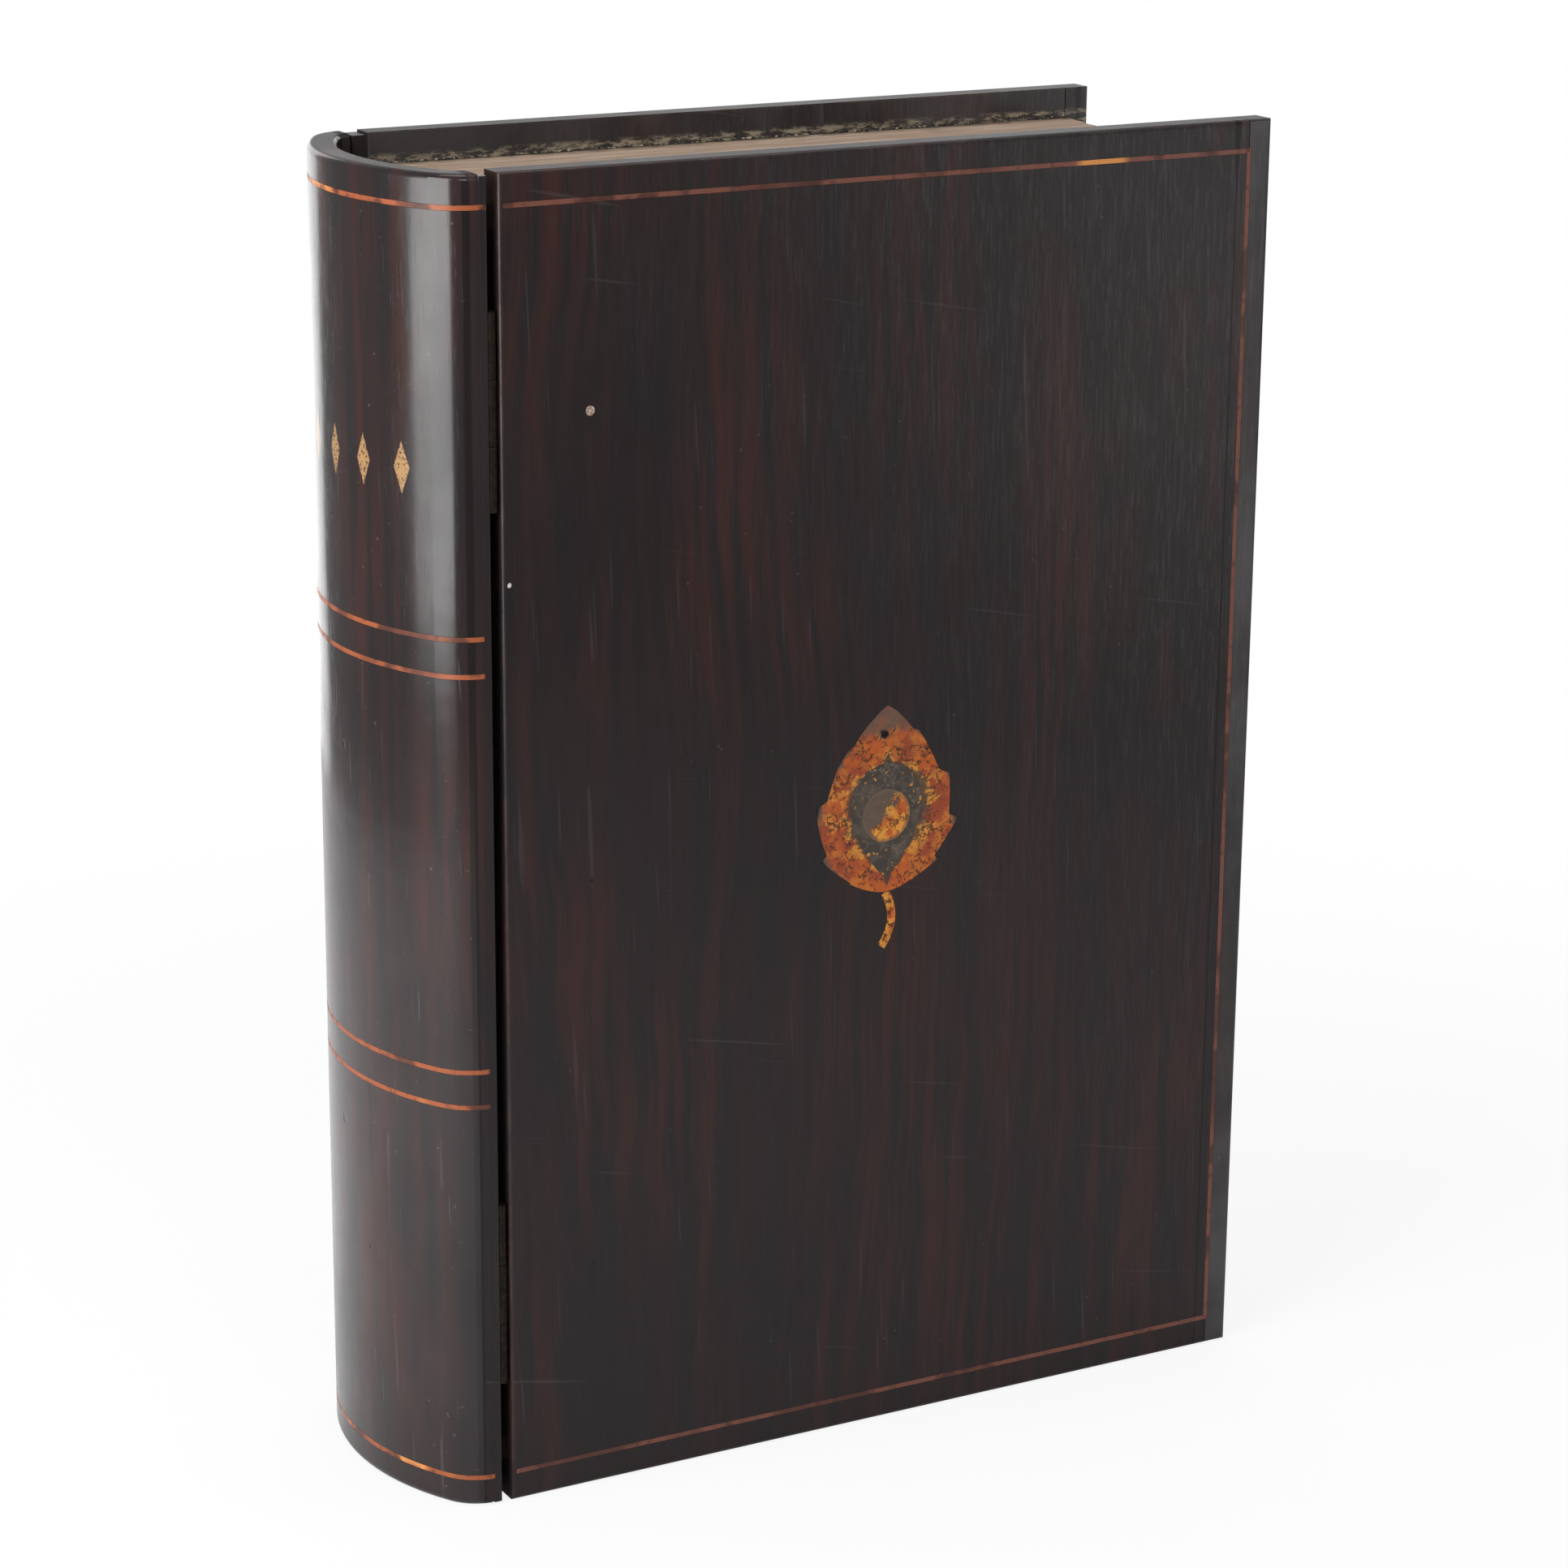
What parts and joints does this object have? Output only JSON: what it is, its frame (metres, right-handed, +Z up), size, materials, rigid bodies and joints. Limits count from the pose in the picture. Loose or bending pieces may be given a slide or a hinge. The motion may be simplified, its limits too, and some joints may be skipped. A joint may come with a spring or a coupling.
{
  "type": "stationery box",
  "caption": "Book-shaped dark wooden stationery box standing on its tail, with a hinged front cover, rounded spine, inlaid lines and leaf, and divided inside.",
  "frame": {"origin": "middle of the box's bounding rectangle, at the base plane that it stands on", "axes": "+Z up along the spine, -Y out of the hinged front cover, -X towards the spine"},
  "size_m": [0.2012, 0.069, 0.28],
  "materials": {
    "cover_wood": "satin French polish on ebonised rosewood",
    "spine_wood": "glossy French polish",
    "page_edge": "tan size over wood, like page edges",
    "divider_wood": "waxed",
    "lining_paper": "matt dark red paper",
    "stringing": "polished boxwood, aged to copper",
    "leaf_orange": "stained and polished veneer",
    "leaf_dark": "stained and polished veneer",
    "leaf_amber": "polished veneer",
    "plug_wood": "bare end grain",
    "hinge_brass": "dark tarnish",
    "pin_steel": "dull",
    "screw_brass": "dull"
  },
  "bodies": {
    "case": {"rear_board": "cover_wood", "rear_edge_strip": "cover_wood", "spine_shell": "spine_wood", "head_board": "page_edge", "tail_board": "page_edge", "fore_edge_wall": "page_edge", "spine_side_wall": "spine_wood", "long_divider": "divider_wood", "envelope_divider": "divider_wood", "ink_well_divider": "divider_wood", "stamp_well_divider": "divider_wood", "case_lining": "lining_paper", "spine_band_tail": "stringing", "spine_band_lower_a": "stringing", "spine_band_lower_b": "stringing", "spine_band_upper_a": "stringing", "spine_band_upper_b": "stringing", "spine_band_head": "stringing", "hinge_plate_case_lower": "hinge_brass", "hinge_plate_case_upper": "hinge_brass", "hinge_pin_lower": "pin_steel", "hinge_pin_upper": "pin_steel", "hinge_screws_case_lower": "screw_brass", "hinge_screws_case_upper": "screw_brass"},
    "lid": {"lid_panel": "cover_wood", "lid_edge_strip": "cover_wood", "lid_string_head": "stringing", "lid_string_tail": "stringing", "lid_string_fore": "stringing", "leaf_blade": "leaf_orange", "leaf_heart": "leaf_dark", "leaf_boss": "leaf_amber", "leaf_stem": "leaf_orange", "lid_plug": "plug_wood", "lid_lining": "lining_paper", "hinge_plate_lid_lower": "hinge_brass", "hinge_plate_lid_upper": "hinge_brass", "hinge_screws_lid_lower": "screw_brass", "hinge_screws_lid_upper": "screw_brass"}
  },
  "joints": [
    {"name": "lid_hinge", "type": "hinge", "parent": "case", "child": "lid", "pos_m": [-0.08165, -0.0332, 0.14], "axis": [0, 0, -1], "range_deg": [0, 110]}
  ]
}
